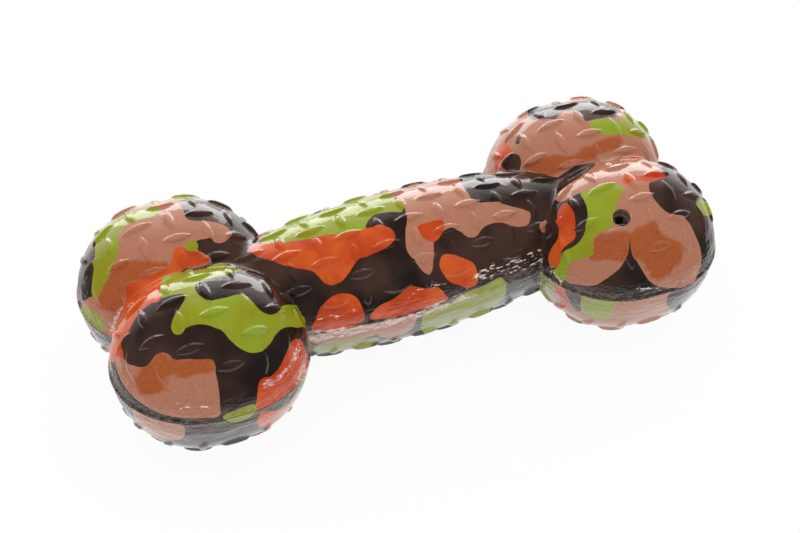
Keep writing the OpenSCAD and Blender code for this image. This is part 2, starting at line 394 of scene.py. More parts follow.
def refine(mesh, treads, reach):
    """Halves the edges near the treads' sides, the bead and the air hole."""
    close = detail_distance(vertices_of(mesh), treads) < reach
    bm = bmesh.new()
    bm.from_mesh(mesh)
    edges = [e for e in bm.edges if close[e.verts[0].index] or close[e.verts[1].index]]
    bmesh.ops.subdivide_edges(bm, edges=edges, cuts=1, use_grid_fill=True)
    bm.to_mesh(mesh)
    bm.free()
    points = vertices_of(mesh)
    tiny = 1e-6
    rim = np.abs(points[:, 2]) < tiny
    points = onto_rubber(points)
    points[rim, 2] = 0
    set_vertices(mesh, points)


def half_mesh(treads):
    """The bare upper half, with a fine mesh where treads, bead and air hole will be."""
    points, quads = level_net(GRID_STEP)
    points = relaxed(points, quads)
    mesh = bpy.data.meshes.new("half")
    mesh.from_pydata(points.tolist(), [], quads.tolist())
    refine(mesh, treads, TREAD_REFINE)
    refine(mesh, [], BEAD_REFINE)
    return mesh


# Print

# One signed distance in millimetres for each colour, positive where the colour shows. The tones lie over
# the colours and don't hide them: rust warms the brown, and pale and flecks are where painted highlight
# streaks and small painted glints lie. No distance is measured beyond the reach
COLOURS = ("green", "orange", "brown", "charcoal")
TONES = ("rust", "pale", "flecks")
PRINT_REACH = 3.0

# Lengths in millimetres of a degree of a print's outline, and pieces of its curve between two corners
MM_PER_LOBE_DEGREE = math.radians(1) * LOBE_RADIUS
MM_PER_SHAFT_DEGREE = math.radians(1) * SHAFT_RADIUS
CURVE_CUTS = 6

# Scattered print: sizes of its patches in millimetres, how much of each colour shows, where its random
# numbers start, and its waves, with the range of their lengths
PATCH_SIZE = 24
RUST_SIZE = 15
FLECK_SIZE = 20
FLECK_DROP = 2
PATCH_CONTRAST = 2.6
PATCH_LIFTS = {"green": -0.1, "orange": -0.15, "brown": 0.25, "charcoal": 0.3}
UPPER_SEED = 11
LOWER_SEED = 47
WAVES = 28
WAVE_RANGE = (0.8, 1.9)


def rounded(corners):
    """A closed smooth curve through these corners."""
    b = np.array(corners, float)
    a, c, d = np.roll(b, 1, 0), np.roll(b, -1, 0), np.roll(b, -2, 0)
    t = (np.arange(CURVE_CUTS) / CURVE_CUTS)[:, None, None]
    curve = 2 * b + (c - a) * t + (2 * a - 5 * b + 4 * c - d) * t**2 + (3 * b - a - 3 * c + d) * t**3
    return (curve / 2).transpose(1, 0, 2).reshape(-1, 2)


def inside_curve(p, curve):
    """How far flat points lie inside a closed curve, negative outside."""
    depth = np.full(len(p), -PRINT_REACH)
    low, high = curve.min(0) - PRINT_REACH, curve.max(0) + PRINT_REACH
    here = np.flatnonzero(((p > low) & (p < high)).all(1))
    q = p[here]
    nearest = np.full(len(q), PRINT_REACH**2)
    crossings = np.zeros(len(q), bool)
    for start, end in zip(curve, np.roll(curve, -1, 0)):
        way = end - start
        share = np.clip((q - start) @ way / max(way @ way, LEAST), 0, 1)
        nearest = np.minimum(nearest, ((q - start - share[:, None] * way) ** 2).sum(1))
        if start[1] != end[1]:
            between = (start[1] > q[:, 1]) != (end[1] > q[:, 1])
            crossings ^= between & (q[:, 0] < start[0] + (q[:, 1] - start[1]) / way[1] * way[0])
    depth[here] = np.sqrt(nearest) * np.where(crossings, 1, -1)
    return depth


def paint(fields, colour, where, depth):
    """Lays a patch of one colour over the print."""
    if colour in TONES:
        fields[colour][where] = np.maximum(fields[colour][where], depth)
        return
    for name in COLOURS:
        old = fields[name][where]
        fields[name][where] = np.maximum(old, depth) if name == colour else np.minimum(old, -depth)


def waves(p, seed, length):
    """A smooth random field about 0, with forms of about this length."""
    rng = np.random.default_rng(seed)
    total = np.zeros(len(p))
    for _ in range(WAVES):
        way = unit(rng.normal(size=3)) * 2 * math.pi / (length * rng.uniform(*WAVE_RANGE))
        total += np.cos(p @ way + rng.uniform(0, 2 * math.pi))
    return total / math.sqrt(WAVES / 2)


def within_reach(depth):
    return np.clip(depth, -PRINT_REACH, PRINT_REACH)


def scattered_print(p, seed):
    """The print of the sides that have no outlines: patches of each colour from random fields."""
    fields = {name: waves(p, seed + i, PATCH_SIZE) for i, name in enumerate(COLOURS)}
    raw = np.stack([PATCH_CONTRAST * (fields[name] + PATCH_LIFTS[name]) for name in COLOURS], 1)
    best = np.sort(raw, 1)
    for i, name in enumerate(COLOURS):
        others = np.where(raw[:, i] == best[:, -1], best[:, -2], best[:, -1])
        fields[name] = within_reach(raw[:, i] - others)
    rust = waves(p, seed + len(COLOURS), RUST_SIZE)
    # The flecks here are scattered painted glints
    flecks = waves(p, seed + len(COLOURS) + 1, FLECK_SIZE)
    fields["rust"] = within_reach(PATCH_CONTRAST * rust - PRINT_REACH / 2)
    fields["pale"] = np.full(len(p), -PRINT_REACH)
    fields["flecks"] = within_reach(PATCH_CONTRAST * flecks - FLECK_DROP)
    return fields


# Direction, as turn and tilt in degrees, on which the outlines of each lobe's print are centred. An
# outline's numbers are degrees to the right of it and above it. On the shaft they are millimetres along the
# bone and degrees up from the front
PRINT_CENTRES = {(-1, -1): (255, 45), (-1, 1): (256.2, 42.6), (1, -1): (237.6, 41.2), (1, 1): (239.8, 39.4)}


def lobe_chart(p, sx, sy):
    """Flat places, in degrees, of a lobe's points about the centre of its print."""
    turn, tilt = PRINT_CENTRES[sx, sy]
    half_sizes = LOBE_RADIUS + np.array([LOBE_REACH / 2, 0, 0])
    ball = unit((p - np.array([sx * LOBE_X, sy * LOBE_Y, 0])) / half_sizes)
    facing, right = towards(turn, tilt), towards(turn + 90, 0)
    up = np.cross(facing, right)
    apart = np.arccos(np.clip(ball @ facing, -1, 1))
    flat = np.stack([ball @ right, ball @ up], 1)
    return np.degrees(apart)[:, None] * flat / np.maximum(np.linalg.norm(flat, axis=1), LEAST)[:, None]


def shaft_chart(p):
    """Flat places of the shaft's points: along the bone in millimetres, and degrees round from the front."""
    return np.stack([p[:, 0], np.degrees(np.arctan2(p[:, 2], -p[:, 1]))], 1)


SHAFT_UPPER = (
    ("charcoal", ((-50, -30), (50, -30), (50, 118), (-50, 118))),
    ("green", (
        (-31, 92), (-26, 88), (-20, 84), (-15, 77), (-11.5, 77), (-9.7, 84), (-7, 90), (-3, 88), (-1, 85),
        (0.3, 90), (0.8, 105), (-4, 135), (-16, 140), (-28, 134), (-33, 115))),
    ("orange", (
        (-37, 104), (-35, 110), (-31, 98), (-28, 92), (-23, 86), (-19, 84), (-16, 79), (-10, 78), (-6, 75),
        (-4.8, 66), (-7, 59), (-12, 56), (-15, 55), (-18, 47), (-20.5, 41.5), (-23.5, 43), (-25.5, 56),
        (-30, 66), (-33, 77), (-36, 91))),
    ("brown", (
        (0.5, 122), (0.4, 90), (-0.6, 75), (-2, 66), (-3.2, 52), (-2.2, 43), (-0.5, 32), (1, 31), (2.2, 41),
        (2.8, 47), (4, 55), (8, 60), (10.5, 56), (12, 50), (14, 49), (17, 55), (21, 55), (25, 48), (28, 48),
        (29, 58), (25.5, 66), (21, 74), (17, 77), (16.6, 88), (16.8, 100), (16, 122))),
    ("orange", ((1.3, 68), (4, 69), (7.3, 68), (6.9, 61), (4, 53), (2, 55), (1, 62))),
    ("orange", ((-28, 3), (-27, 17), (-25.5, 26), (-22, 32), (-18.5, 29), (-16.9, 20), (-17.2, 3))),
    ("orange", (
        (-13.7, 3), (-13.2, 13), (-9, 17), (-6, 22), (-4, 23.5), (-1, 19), (2, 17), (3.6, 9), (3, 3))),
    ("orange", (
        (3.5, 32), (4.5, 40), (6.4, 40), (9.5, 34), (11.8, 27), (12.2, 12), (10, 9), (7.8, 14), (5.2, 20))),
    ("green", ((6, -1), (9, 5), (14, 6), (18, 9), (19.3, 4), (19, -1))),
    ("brown", ((30.5, 44), (33, 47), (36, 47), (36, 40), (33, 35), (31, 38))),
    ("pale", ((-31, -4), (-30, 5), (-20, 2), (-8, 1), (2, 4), (9, 6), (9, -4))),
    ("flecks", ((-28, 13), (-27, 18), (-17, 17), (-16, 13))),
    ("flecks", ((-9, 15), (-4, 21), (4, 22), (5, 17), (-2, 15))),
    ("flecks", ((9, 10), (12, 22), (22, 25), (30, 24), (38, 14), (36, 4), (22, 8))),
)
SHAFT_LOWER = (
    ("charcoal", ((-50, 30), (50, 30), (50, -45), (-50, -45))),
    ("brown", ((-29, 2), (-13, 2), (-12, -12), (-18, -18), (-27, -14))),
    ("green", ((-27, -16), (-18, -17), (-12, -24), (-16, -34), (-26, -32))),
    ("brown", ((-14, 3), (-4.5, 3), (-4, -16), (-7, -28), (-12, -20))),
    ("green", ((-1, 3), (8, 5), (18.5, 4), (19.5, -22), (13, -38), (0, -34))),
    ("pale", ((-31, 5), (-30, -9), (-20, -10), (-11, -8), (-4, -7), (4, -4), (9, 5))),
)
FRONT_LEFT_UPPER = (
    ("charcoal", ((-75, -50), (0, -75), (75, -50), (80, 20), (50, 75), (-50, 75), (-85, 20))),
    ("orange", (
        (-28, 45), (-34, 42), (-41, 38), (-46, 32), (-50, 25), (-54, 17), (-55.5, 10), (-55, 4), (-64, 4),
        (-80, 8), (-95, 30), (-80, 70), (-45, 95), (-26, 80))),
    ("green", (
        (-30, 60), (-29, 51), (-27, 45), (-19, 45.5), (-13, 44.5), (-11.5, 41), (-12.5, 37), (-15, 31.5),
        (-18, 26), (-19, 20), (-17, 15.5), (-13, 15.5), (-10.5, 19), (-5, 20.5), (1, 19.5), (6, 16.5),
        (10, 13), (14, 7), (19, 2), (24, -1), (30, -0.6), (35, 3), (40, 9), (45, 13), (53, 15), (62, 15),
        (80, 18), (95, 25), (90, 38), (70, 37), (60, 34.5), (53, 32), (48, 29), (44.5, 25), (40, 23),
        (35.5, 23.5), (31, 27), (28, 32.5), (25, 37), (20, 39), (14, 37.6), (7, 36.6), (1.5, 36.5),
        (-3, 41), (-6, 47), (-6.3, 53), (-2, 57), (6, 59.5), (14, 61), (22, 65), (30, 76), (10, 82),
        (-30, 78))),
    ("brown", (
        (-62, 7), (-55, 4.5), (-51, 2), (-47, -0.5), (-41, -3), (-36, -3), (-32.5, -0.5), (-29, 3),
        (-25, 4.5), (-21.5, 3), (-18, -0.8), (-11, -1.3), (-4, -2.4), (1.5, -3), (3.3, -6), (3.5, -12),
        (4.5, -20), (5, -33), (4, -41), (-4, -40.5), (-16, -39), (-29, -36), (-40.5, -30), (-52, -21),
        (-61, -9), (-66, 3))),
    ("rust", (
        (-40, -5), (-35, -2), (-31, 1), (-26, 5), (-20, 2), (-10, 0), (2, -1.5), (4, -8), (2, -11),
        (-8, -11), (-18, -10), (-23, -12), (-24, -20), (-32, -22), (-41, -20), (-43, -12))),
    ("green", ((7, -42.5), (14, -40), (20, -38.3), (25, -37), (28, -39), (29, -43), (25, -48), (12, -48))),
    ("flecks", (
        (30, -20), (38, -19), (48, -11), (55, -2), (60, 4), (64, 0), (60, -9), (50, -20), (40, -26),
        (31, -26))),
    ("pale", (
        (31, -22), (40, -20), (49, -12), (56, -3), (60, 3), (61, 1), (57, -6), (50, -15), (41, -23),
        (32, -25))),
    ("pale", ((64, -14), (71, -14), (70, -32), (54, -39), (58, -28))),
    ("flecks", ((-24, -30), (-22, -26), (-8, -28), (0, -31), (0, -36), (-16, -35))),
    ("orange", (
        (28, -33), (28.4, -24), (29.5, -20), (32, -18.7), (36, -18.5), (41, -14.5), (46, -7), (49.5, -1),
        (53, 3.5), (58, 5.3), (63, 4.5), (68, 0), (76, -12), (82, -28), (72, -44), (52, -50), (32, -48),
        (28, -42))),
)
FRONT_LEFT_LOWER = (
    ("charcoal", ((-80, -20), (80, -20), (90, -60), (0, -90), (-90, -60))),
    ("brown", ((-50, -30), (-40, -38), (-20, -43), (-19, -56), (-30, -64), (-50, -60), (-58, -45))),
    ("green", ((9, -40), (26, -38), (25, -47), (17, -50), (10, -47))),
    ("orange", ((32, -46), (50, -48), (70, -38), (78, -50), (60, -70), (34, -62))),
)
FRONT_RIGHT_UPPER = (
    ("charcoal", ((-75, -50), (0, -75), (75, -50), (85, 20), (50, 75), (-50, 75), (-85, 20))),
    ("brown", (
        (-52, 34), (-47, 28), (-38, 30), (-30, 34), (-14, 30), (-20, 0), (-31, -10), (-31, -30),
        (-24, -31.8), (-13, -31), (-7, -27.5), (-1, -21.5), (3.5, -16), (6, -10.5), (9, -9), (12.5, -10.5),
        (17, -16.5), (21, -22), (26, -27), (32, -30), (40, -31.5), (56, -29), (61, -20), (61, -10),
        (58, -2), (55, 3), (51, 8.5), (46, 15.5), (40, 21), (31, 22), (24, 26), (18, 32.5), (14.5, 39),
        (13.5, 46), (15, 52), (18, 62), (22, 76), (-14, 88), (-33, 82), (-34, 62), (-37, 51), (-46, 43),
        (-51, 38))),
    ("rust", (
        (-13, 3), (-9, 6), (0, 7), (6, 7), (12, 12), (20, 15), (26, 10), (35, 7), (40, 1), (42, -8),
        (37, -18), (31, -24), (26, -24), (19, -18), (12, -11), (8, -8), (4, -12), (-4, -13), (-14, -12),
        (-15, -5))),
    ("green", (
        (-30, 33.5), (-25, 37), (-18, 39.5), (-11, 41.5), (-6.5, 42.3), (-3.5, 40), (-2.5, 36), (-4.3, 30),
        (-4.8, 20), (-4, 12), (-6, 8.6), (-11, 6), (-14, 3.5), (-14.5, -1), (-13.6, -6), (-14, -10),
        (-20, -12.5), (-27, -15.3), (-30, -20), (-30.3, -26), (-32.5, -30.5), (-37, -31.5), (-41, -29),
        (-43, -26), (-39, -22.5), (-36, -18), (-34.5, -12), (-31, -8), (-26, -5), (-22, 0.5), (-20, 8),
        (-20.5, 15), (-23, 23), (-26.5, 28.5))),
    ("orange", (
        (-44, 21), (-42, 25.5), (-38, 25), (-33.5, 21), (-30.5, 16), (-28.5, 9), (-27, 2), (-28.5, -1),
        (-32, -4), (-35, -9), (-36.5, -15), (-38.5, -21), (-43, -22.3), (-47, -19), (-47, -13), (-44.5, -8),
        (-40.5, -2), (-39.8, 4), (-41.5, 10), (-44, 15.5))),
    ("orange", (
        (-5, 45), (-4.5, 50), (0, 53.5), (6, 53), (11, 54.5), (18, 57.7), (23.5, 57), (24.5, 54.5),
        (20, 51), (14, 47.5), (8, 48), (2, 45.5), (-2, 43))),
    ("green", ((52, 34), (53, 40), (60, 44), (72, 46), (78, 38), (66, 30), (56, 29))),
    ("charcoal", ((6.2, -11), (6.5, -6), (6.4, -1), (6.2, 5), (6.9, 5), (7.9, -1), (9, -6), (11, -10.5))),
    ("flecks", ((-34, -42), (-30, -38), (-14, -38), (-8, -41), (-12, -45), (-30, -46))),
    ("flecks", ((12, -31), (16, -28), (28, -29), (34, -31), (34, -35), (14, -34))),
    ("flecks", ((-48, -20), (-40, -24), (-30, -34), (-30, -44), (-44, -40))),
)
FRONT_RIGHT_LOWER = (
    ("brown", ((-80, -20), (80, -20), (90, -60), (0, -90), (-90, -60))),
    ("green", ((-70, -18), (-46, -18), (-42, -34), (-46, -48), (-60, -62), (-80, -50))),
    ("orange", ((-44, -20), (-32, -32), (-31, -48), (-28, -60), (-40, -62), (-42, -45))),
    ("charcoal", ((-31, -36), (-17, -38), (-17, -52), (-24, -60), (-30, -50))),
    ("green", ((-17, -38), (3, -36), (3, -52), (0, -62), (-18, -62))),
    ("charcoal", ((44, -30), (62, -28), (72, -20), (86, -30), (60, -60), (42, -48))),
)
REAR_LEFT_UPPER = (
    ("brown", ((-60, -30), (0, -50), (60, -10), (70, 30), (50, 70), (-20, 80), (-50, 60), (-75, 20))),
    ("rust", (
        (-40, 8), (-34, 16), (-24, 18), (-10, 16), (0, 12), (-6, 8), (-22, 4), (-26, -2), (-27, -10),
        (-31, -16), (-40, -14), (-50, -8), (-46, 0))),
    ("green", ((-76, -12), (-62, -12), (-51, -17), (-48, -26), (-56, -34), (-80, -34))),
    ("charcoal", ((-58, -4), (-50, 0), (-48, 30), (-56, 44), (-80, 42), (-86, 5), (-70, -6))),
    ("green", (
        (-52, -5.5), (-48, -3.5), (-43, 3), (-37.5, 9.5), (-34, 16.5), (-32, 25), (-32, 37), (-30, 44),
        (-26, 49), (-14, 50), (-6, 54), (-8, 62), (-30, 66), (-46, 56), (-52.5, 42), (-51.5, 30), (-51, 20),
        (-53, 8), (-54.5, 0))),
    ("charcoal", (
        (15.5, 25), (17, 27), (24.5, 27.3), (27, 24.5), (32, 23.7), (35.5, 26), (39, 30), (38.5, 36),
        (33, 39.5), (26, 41.5), (17, 42.5), (11.5, 46), (10.5, 55), (11, 72), (60, 66), (85, 40), (95, 0),
        (70, -30), (26, -14), (22, 0), (23, 10.5), (20, 16), (16, 19.5))),
    ("orange", (
        (-26, -3), (-25.5, 2), (-20, 3.5), (-12, 5.5), (-5, 8.5), (-0.5, 11.5), (1.5, 17), (3.5, 22.5),
        (8, 22.5), (11, 19.5), (15.5, 18.8), (19.5, 15), (22.3, 10), (21.5, 6.5), (14, 4.5), (6, 2.5),
        (0, 0), (-4, -4), (-6, -10), (-14, -14), (-28, -22), (-40, -34), (-46, -34), (-38, -24), (-30, -16),
        (-28.5, -11), (-26.5, -7))),
    ("green", ((9, 22), (11, 26), (14, 27), (16.3, 24), (15.5, 19.5), (11.5, 19.5))),
    ("pale", ((-46, -36), (-42, -26), (-35, -17), (-30, -12), (-30, -16), (-36, -28), (-42, -38))),
)
REAR_RIGHT_UPPER = (
    ("brown", ((-60, -10), (-30, -30), (50, 0), (80, 20), (60, 50), (20, 80), (-40, 66), (-75, 30))),
    ("rust", (
        (-28, 0), (-26, 8), (-18, 14), (-8, 16), (2, 18), (12, 26), (22, 32), (30, 34), (30, 24), (20, 18),
        (8, 12), (-4, 6), (-12, 0), (-20, -4))),
    ("orange", (
        (-57, 28), (-54, 30), (-49, 26), (-44, 21), (-43.5, 17), (-47, 14), (-51, 12), (-54, 5), (-59, 6),
        (-60, 18))),
    ("charcoal", (
        (-43, 16.8), (-38, 17), (-34.4, 15), (-32.3, 11), (-32.3, 6), (-33.7, 1.5), (-36.6, -1.3), (-41, 1),
        (-46, 4.4), (-48.5, 9), (-46.6, 13))),
    ("charcoal", ((-41, 31), (-38, 33), (-35.5, 31), (-36, 26), (-39, 24), (-41.5, 26))),
    ("charcoal", (
        (-70, -14), (-50, -10), (-34, -7.5), (-24, -7.5), (-18, -6), (-13, -2.5), (-7, 0.5), (-1.5, 5),
        (4, 9), (10.5, 11.5), (17.5, 13), (15, 10), (10, 6.5), (4, 0), (-2, -7), (-6, -14), (-8, -24),
        (-50, -30))),
    ("charcoal", (
        (-34, 47), (-27, 46.5), (-20, 46), (-15, 46), (-13.5, 52), (-9, 57), (-3, 55.5), (1, 51.5), (6, 46),
        (10, 47), (20, 51), (30, 56), (30, 75), (-40, 75), (-44, 60))),
    ("green", (
        (9.5, 44), (12, 47), (20, 50), (28, 50), (33, 55), (38, 63), (44, 72), (70, 70), (75, 50), (62, 41),
        (52, 39), (42, 37.5), (34, 35.5), (20, 35.3), (11, 39.5))),
)
LOBE_PRINTS = {
    (-1, -1): (FRONT_LEFT_UPPER, FRONT_LEFT_LOWER),
    (1, -1): (FRONT_RIGHT_UPPER, FRONT_RIGHT_LOWER),
    (-1, 1): (REAR_LEFT_UPPER, ()),
    (1, 1): (REAR_RIGHT_UPPER, ()),
}


def paint_outlines(fields, outlines, where, chart, scale):
    """Lays the patches with outlines over the scattered print. The scale turns a chart into millimetres."""
    if outlines:
        for tone in TONES:
            fields[tone][where] = -PRINT_REACH
    for colour, corners in outlines:
        paint(fields, colour, where, inside_curve(chart * scale, rounded(corners) * scale))


def print_fields(p, upper):
    """The print of one half shell at these bare points."""
    fields = scattered_print(p, UPPER_SEED if upper else LOWER_SEED)
    gaps = [lobe_gap(p, sy) + np.where(p[:, 0] * sx > 0, 0, BONE_LENGTH) for sx, sy in LOBE_PRINTS]
    part = np.argmin(np.stack([*gaps, shaft_gap(p)]), 0)
    for number, (sx, sy) in enumerate(LOBE_PRINTS):
        where = np.flatnonzero(part == number)
        outlines = LOBE_PRINTS[sx, sy][0 if upper else 1]
        paint_outlines(fields, outlines, where, lobe_chart(p[where], sx, sy), MM_PER_LOBE_DEGREE)
    where = np.flatnonzero(part == len(gaps))
    outlines = SHAFT_UPPER if upper else SHAFT_LOWER
    paint_outlines(fields, outlines, where, shaft_chart(p[where]), np.array([1, MM_PER_SHAFT_DEGREE]))
    return fields


# Nodes


class Nodes:
    """The node tree of a material or the world, with short calls for the nodes used here."""

    def __init__(self, owner):
        owner.use_nodes = True
        self.owner = owner
        self.tree = owner.node_tree
        self.surface = self.tree.nodes.get("Principled BSDF") or self.tree.nodes["Background"]

    def put(self, target, value):
        if isinstance(value, bpy.types.NodeSocket):
            self.tree.links.new(value, target)
        else:
            target.default_value = value

    def node(self, kind, values=None, **settings):
        node = self.tree.nodes.new(kind)
        for name, value in settings.items():
            setattr(node, name, value)
        for name, value in (values or {}).items():
            self.put(node.inputs[name], value)
        return node

    def maths(self, operation, a, b=0.0, c=0.0):
        """A sum of one to three numbers. MULTIPLY_ADD is a times b plus c."""
        return self.node("ShaderNodeMath", {0: a, 1: b, 2: c}, operation=operation).outputs[0]

    def split(self, vector):
        return self.node("ShaderNodeSeparateXYZ", {0: vector}).outputs

    def attribute(self, name):
        return self.node("ShaderNodeAttribute", attribute_name=name).outputs["Fac"]

    def place(self):
        return self.node("ShaderNodeTexCoord").outputs["Object"]

    def scaled(self, scale):
        """The place, stretched, so that what it carries is drawn out where the scale is low."""
        return self.node("ShaderNodeMapping", {"Vector": self.place(), "Scale": scale}).outputs[0]

    def noise(self, scale, detail=2.0, rough=0.5, vector=None):
        """Noise from about 0.3 to 0.7, with this many forms to a metre."""
        values = {"Vector": vector or self.place(), "Scale": scale, "Detail": detail, "Roughness": rough}
        return self.node("ShaderNodeTexNoise", values).outputs["Fac"]

    def between(self, value, low, high, to_low=0.0, to_high=1.0):
        """Turns the range from low to high into the other range, on an S-curve, and keeps within it."""
        values = {"Value": value, "From Min": low, "From Max": high, "To Min": to_low, "To Max": to_high}
        return self.node("ShaderNodeMapRange", values, interpolation_type="SMOOTHSTEP").outputs["Result"]

    def mix(self, share, a, b):
        """Colour a where the share is 0, and b where it is 1."""
        return self.node("ShaderNodeMix", {0: share, 6: a, 7: b}, data_type="RGBA").outputs[2]

    def tinted(self, share, name):
        """From a colour's first tone to its second."""
        first, second = TINTS[name]
        return self.mix(share, srgb(*first), srgb(*second))

    def bump(self, height, distance, strength=1.0, normal=None):
        values = {"Height": height, "Distance": distance, "Strength": strength}
        if normal is not None:
            values["Normal"] = normal
        return self.node("ShaderNodeBump", values).outputs["Normal"]

    def seen_directly(self):
        """1 for rays from the camera or through something clear, and 1 for reflections."""
        rays = self.node("ShaderNodeLightPath").outputs
        direct = self.maths("MAXIMUM", rays["Is Camera Ray"], rays["Is Transmission Ray"])
        return direct, rays["Is Glossy Ray"]

    def finish(self, colour, roughness, normal, **sockets):
        self.put(self.surface.inputs["Base Color"], colour)
        self.put(self.surface.inputs["Roughness"], roughness)
        self.put(self.surface.inputs["Normal"], normal)
        for name, value in sockets.items():
            self.surface.inputs[name.replace("_", " ")].default_value = value
        return self.owner


def srgb(red, green, blue):
    """A colour written as it looks on a screen, from 0 to 255."""
    linear = []
    for value in (red, green, blue):
        share = value / 255
        linear.append(share / 12.92 if share <= 0.04045 else ((share + 0.055) / 1.055) ** 2.4)
    return (*linear, 1.0)


# Materials

# Two tones of each colour, from 0 to 255, as they look on a screen
TINTS = {
    "charcoal": ((28, 19, 15), (68, 45, 37)),
    "dusty": ((168, 109, 86), (182, 125, 100)),
    "rust": ((156, 76, 38), (174, 94, 52)),
    "orange": ((180, 56, 16), (208, 90, 36)),
    "green": ((140, 138, 22), (138, 158, 40)),
    # The raw rubber and the squeaker plastic are lightened to offset the shade inside the air hole: painted
    # light
    "raw_rubber": ((126, 104, 95), (144, 120, 110)),
    "squeaker_plastic": ((150, 128, 120), (164, 142, 134)),
    "block_plastic": ((84, 80, 78), (100, 96, 94)),
    "reed_film": ((226, 214, 176), (240, 232, 204)),
}
# Near-white of the painted glints and highlight streaks laid over the print
GLINT_WHITE = (236, 220, 212)

# Unevenness and softness of the print's edges, in millimetres, and the shift in metres, one for each
# colour, of the noise that makes them uneven
EDGE_WOBBLE = 0.5
EDGE_SOFT = 0.12
EDGE_SHIFTS = {"brown": 3.1, "orange": 7.7, "green": 12.3}

# Heights above the parting plane, in metres: where the wrinkles end, where the painted highlight along the
# seam ends and where it is full, and where the charcoal is darkest and lightest
WRINKLE_TOP = 0.0075
SEAM_TOP = 0.003
SEAM_FULL = 0.0008
# The charcoal is painted lighter higher up and darker towards the parting plane: painted shade and
# reflection
DARKEST = 0.004
LIGHTEST = 0.014

# Depths of the fine relief of the surfaces, in metres
WAVE_DEPTH = 0.0004
SKIN_DEPTH = 0.00003
WRINKLE_DEPTH = 0.0009
RAW_DEPTH = 0.00008
PLASTIC_DEPTH = 0.00002
FILM_DEPTH = 0.00001
GROUND_DEPTH = 0.0001

# How much of the print the painted seam highlight, highlight streaks and glints cover at most
SEAM_HIGHLIGHT = 0.17
STREAK_HIGHLIGHT = 0.85
FLECK_GLINT = 0.9


def print_colours(n, cloud):
    """The print's colours, each clouded or speckled with its own two tones."""
    # Painted shade: the charcoal darker towards the parting plane and lighter higher up
    lift = n.between(n.split(n.place())[2], DARKEST, LIGHTEST, -0.35, 0.1)
    depth = n.maths("ADD", n.between(n.noise(70, 2, 0.5), 0.35, 0.65), lift)
    speckle = n.between(n.noise(3400, 3, 0.7, n.scaled((1, 1, 0.35))), 0.35, 0.7)
    ragged = n.maths("MULTIPLY_ADD", n.noise(200, 4, 0.65), 5, -2.5)
    rusty = n.between(n.maths("ADD", n.attribute("print_rust"), ragged), -0.7, 0.7)
    share = n.between(cloud, 0.3, 0.7)
    return {
        "charcoal": n.tinted(depth, "charcoal"),
        "brown": n.mix(rusty, n.tinted(speckle, "dusty"), n.tinted(speckle, "rust")),
        "orange": n.tinted(share, "orange"),
        "green": n.tinted(share, "green"),
    }


def camouflage(n, colours):
    """Shows at each place the colour with the largest signed distance."""
    colour = colours["charcoal"]
    best = n.attribute("print_charcoal")
    for key, shift in EDGE_SHIFTS.items():
        vector = n.node("ShaderNodeMapping", {"Vector": n.place(), "Location": (shift, 0, 0)}).outputs[0]
        wobble = n.maths("MULTIPLY", n.noise(420, 2, vector=vector), EDGE_WOBBLE)
        field = n.maths("ADD", n.attribute("print_" + key), wobble)
        lead = n.maths("SUBTRACT", field, best)
        colour = n.mix(n.between(lead, -EDGE_SOFT, EDGE_SOFT), colour, colours[key])
        best = n.maths("MAXIMUM", best, field)
    return colour


def painted_glint_share(n, height):
    """Where painted glints and highlights cover the print: in flecks, and in streaks on the pale stretches
    and along the seam.
    """
    glint_noise = n.noise(1500, 2, 0.6, n.scaled((0.3, 1, 1)))
    glint_lift = n.between(n.attribute("print_flecks"), -1, 1, -0.25, 0.02)
    flecks = n.between(n.maths("ADD", glint_noise, glint_lift), 0.56, 0.66)
    ragged = n.maths("MULTIPLY_ADD", n.noise(700, 3, 0.65, n.scaled((0.4, 1, 1))), 3, -1.5)
    pale = n.between(n.maths("ADD", n.attribute("print_pale"), ragged), -0.2, 0.4)
    seam = n.between(height, SEAM_TOP, SEAM_FULL, 0, SEAM_HIGHLIGHT)
    lines = n.noise(1500, 3, 0.7, n.scaled((0.3, 1, 1)))
    streaks = n.between(lines, 0.42, 0.62, 0.12, STREAK_HIGHLIGHT)
    streaks = n.maths("MULTIPLY", n.maths("MAXIMUM", pale, seam), streaks)
    return n.maths("MAXIMUM", n.maths("MULTIPLY", flecks, FLECK_GLINT), streaks)


def rubber_normal(n, height):
    """The moulding's waviness, its fine skin, and the wrinkles beside the parting plane."""
    normal = n.bump(n.noise(220, 2, 0.5), WAVE_DEPTH, 0.6)
    normal = n.bump(n.noise(2400, 2, 0.6), SKIN_DEPTH, 0.4, normal)
    band = n.between(height, WRINKLE_TOP, WRINKLE_TOP / 3)
    folds = n.noise(420, 3, 0.6, n.scaled((0.4, 1, 1.3)))
    return n.bump(n.maths("MULTIPLY", folds, band), WRINKLE_DEPTH, 1.0, normal)


def printed_rubber(name, coat_index, dust):
    """Camouflage print on rubber under a glossy coat, which alone reflects, with a dusty sheen."""
    n = Nodes(bpy.data.materials.new(name))
    cloud = n.noise(90, 3, 0.6)
    height = n.maths("ABSOLUTE", n.split(n.place())[2])
    # Painted glints and highlight streaks: the print mixed towards near-white
    colour = n.mix(painted_glint_share(n, height), camouflage(n, print_colours(n, cloud)), srgb(*GLINT_WHITE))
    normal = rubber_normal(n, height)
    n.put(n.surface.inputs["Coat Normal"], normal)
    return n.finish(
        colour,
        n.between(cloud, 0.3, 0.7, 0.2, 0.34),
        normal,
        Specular_IOR_Level=0.0,
        Coat_Weight=1.0,
        Coat_Roughness=0.07,
        Coat_IOR=coat_index,
        Sheen_Weight=dust,
        Sheen_Roughness=0.3,
    )


